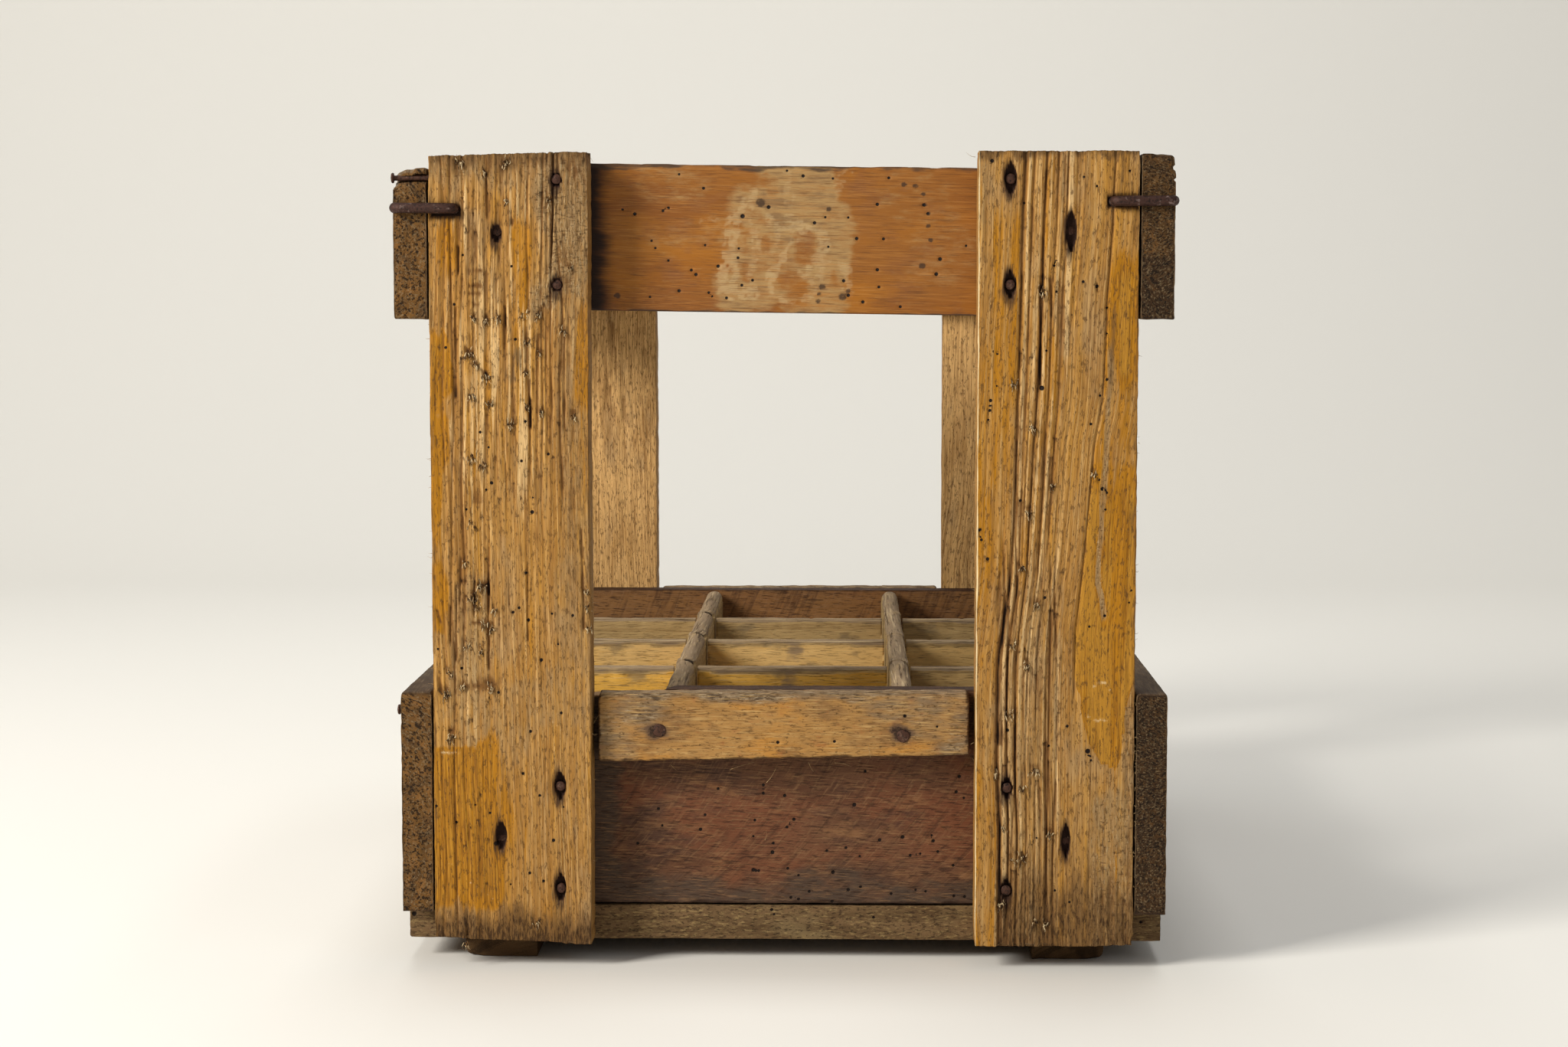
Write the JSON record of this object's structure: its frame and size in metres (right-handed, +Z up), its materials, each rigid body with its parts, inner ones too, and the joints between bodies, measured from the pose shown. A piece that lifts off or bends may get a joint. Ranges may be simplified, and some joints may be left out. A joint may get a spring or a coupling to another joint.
{
  "type": "wooden bottle crate",
  "caption": "Old nailed wooden bottle crate with divided cells, flat corner posts, open grip ends, upper rails and wire-tied corners.",
  "frame": {"origin": "middle of the crate's outline, on the surface that the runners stand on", "axes": "+Z up, +Y along the crate's length away from the front end, +X to the right as seen from the front end"},
  "size_m": [0.327, 0.4486, 0.3435],
  "materials": {
    "honey_pine": "worn varnish on weathered pine",
    "reddish_board": "satin, old varnish",
    "dark_red_board": "dull, saw-marked",
    "tan_batten": "dull, worn",
    "grey_brown_board": "weathered end grain",
    "worn_tan_divider": "worn, with paint remains",
    "olive_brown_slat": "dull, stained",
    "rusty_iron": "rusted"
  },
  "bodies": {
    "root": {"left_runner": "olive_brown_slat", "right_runner": "olive_brown_slat", "bottom_slat_1": "olive_brown_slat", "bottom_slat_2": "olive_brown_slat", "bottom_slat_3": "olive_brown_slat", "bottom_slat_4": "olive_brown_slat", "bottom_slat_5": "olive_brown_slat", "left_side_board": "grey_brown_board", "right_side_board": "grey_brown_board", "front_end_board": "dark_red_board", "back_end_board": "dark_red_board", "left_long_divider": "worn_tan_divider", "right_long_divider": "worn_tan_divider", "front_cross_divider": "worn_tan_divider", "middle_cross_divider": "worn_tan_divider", "back_cross_divider": "worn_tan_divider", "front_left_post": "honey_pine", "front_right_post": "honey_pine", "back_left_post": "honey_pine", "back_right_post": "honey_pine", "front_top_board": "reddish_board", "back_top_board": "reddish_board", "front_grip_batten": "tan_batten", "back_grip_batten": "tan_batten", "left_upper_rail": "grey_brown_board", "right_upper_rail": "grey_brown_board", "front_left_corner_wire": "rusty_iron", "front_right_corner_wire": "rusty_iron", "back_left_corner_wire": "rusty_iron", "back_right_corner_wire": "rusty_iron", "front_left_top_nail_1": "rusty_iron", "front_left_top_nail_2": "rusty_iron", "front_left_top_nail_3": "rusty_iron", "front_left_foot_nail_1": "rusty_iron", "front_left_foot_nail_2": "rusty_iron", "front_left_foot_nail_3": "rusty_iron", "front_right_top_nail_1": "rusty_iron", "front_right_top_nail_2": "rusty_iron", "front_right_top_nail_3": "rusty_iron", "front_right_foot_nail_1": "rusty_iron", "front_right_foot_nail_2": "rusty_iron", "front_right_foot_nail_3": "rusty_iron", "back_left_top_nail_1": "rusty_iron", "back_left_top_nail_2": "rusty_iron", "back_left_top_nail_3": "rusty_iron", "back_left_foot_nail_1": "rusty_iron", "back_left_foot_nail_2": "rusty_iron", "back_left_foot_nail_3": "rusty_iron", "back_right_top_nail_1": "rusty_iron", "back_right_top_nail_2": "rusty_iron", "back_right_top_nail_3": "rusty_iron", "back_right_foot_nail_1": "rusty_iron", "back_right_foot_nail_2": "rusty_iron", "back_right_foot_nail_3": "rusty_iron", "front_batten_left_nail": "rusty_iron", "front_batten_right_nail": "rusty_iron", "back_batten_left_nail": "rusty_iron", "back_batten_right_nail": "rusty_iron", "left_side_nail": "rusty_iron", "left_rail_nail": "rusty_iron"}
  },
  "joints": []
}
